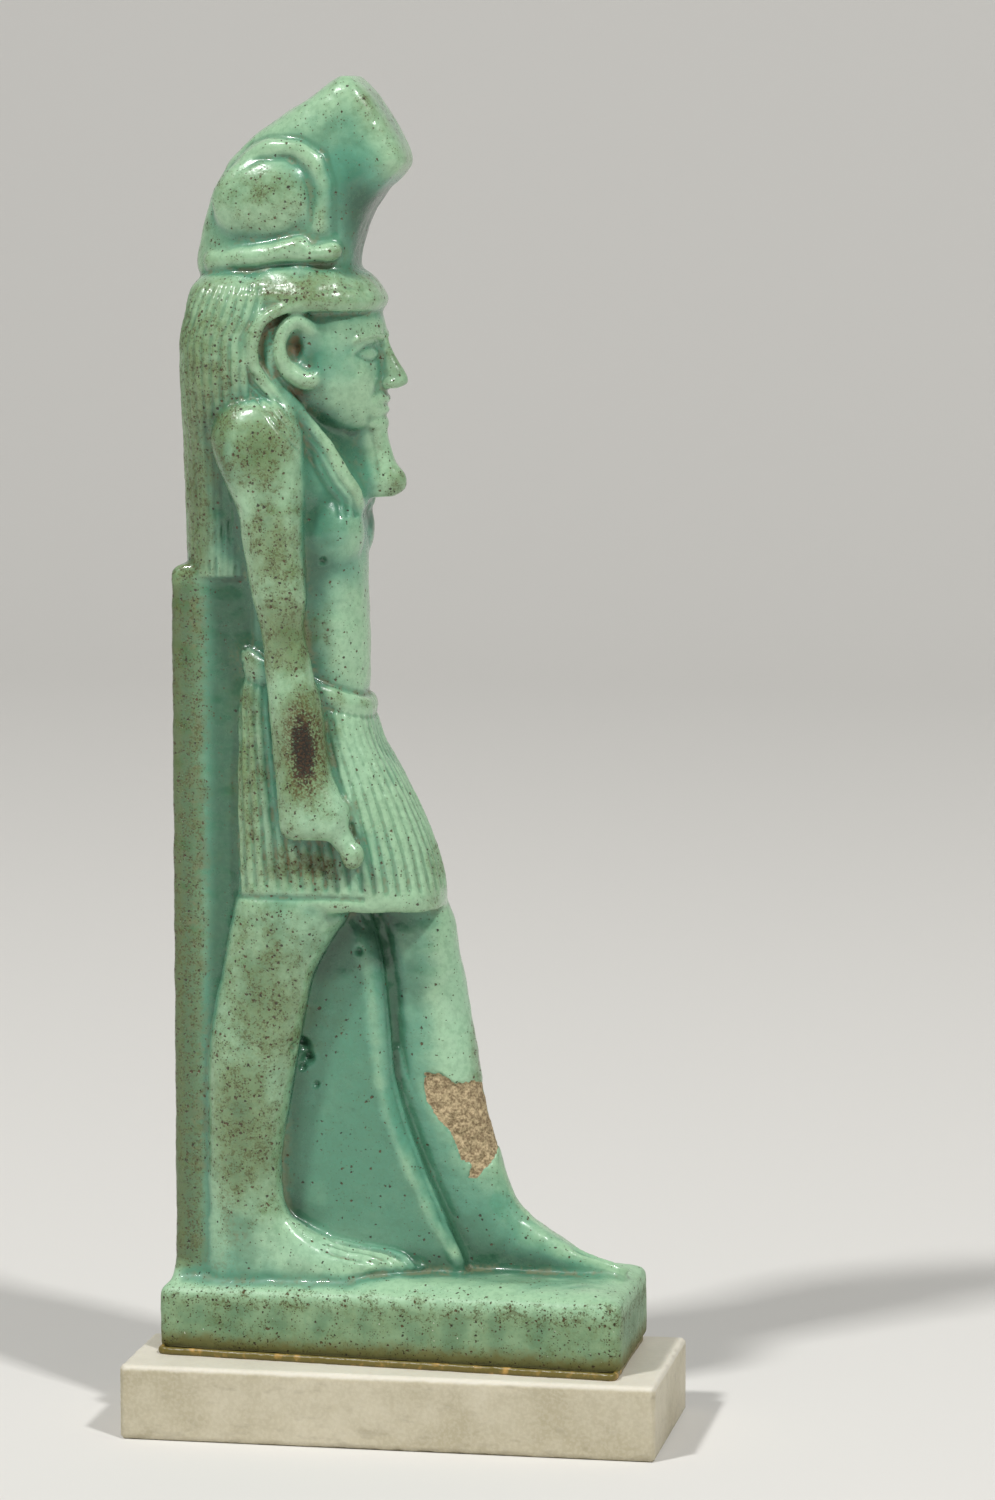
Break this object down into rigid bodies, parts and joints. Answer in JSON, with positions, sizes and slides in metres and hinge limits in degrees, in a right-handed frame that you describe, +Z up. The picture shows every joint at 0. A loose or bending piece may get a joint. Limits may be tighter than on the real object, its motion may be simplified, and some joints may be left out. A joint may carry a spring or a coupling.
{
  "type": "glazed figurine on a marble plinth",
  "caption": "Green-glazed figurine of a striding man in a pleated kilt, with a back pillar and a crest, on a small marble plinth.",
  "frame": {"origin": "middle of the plinth's underside", "axes": "+Z up along the figure, +X the way the figure walks and faces, its right side towards -Y"},
  "size_m": [0.04, 0.0162, 0.1002],
  "materials": {
    "glazed_faience": "pale green to turquoise glaze, freckled with dark specks",
    "white_marble": "sawn and rubbed white marble, unpolished"
  },
  "bodies": {
    "root": {"figurine": "glazed_faience", "plinth": "white_marble"}
  },
  "joints": []
}
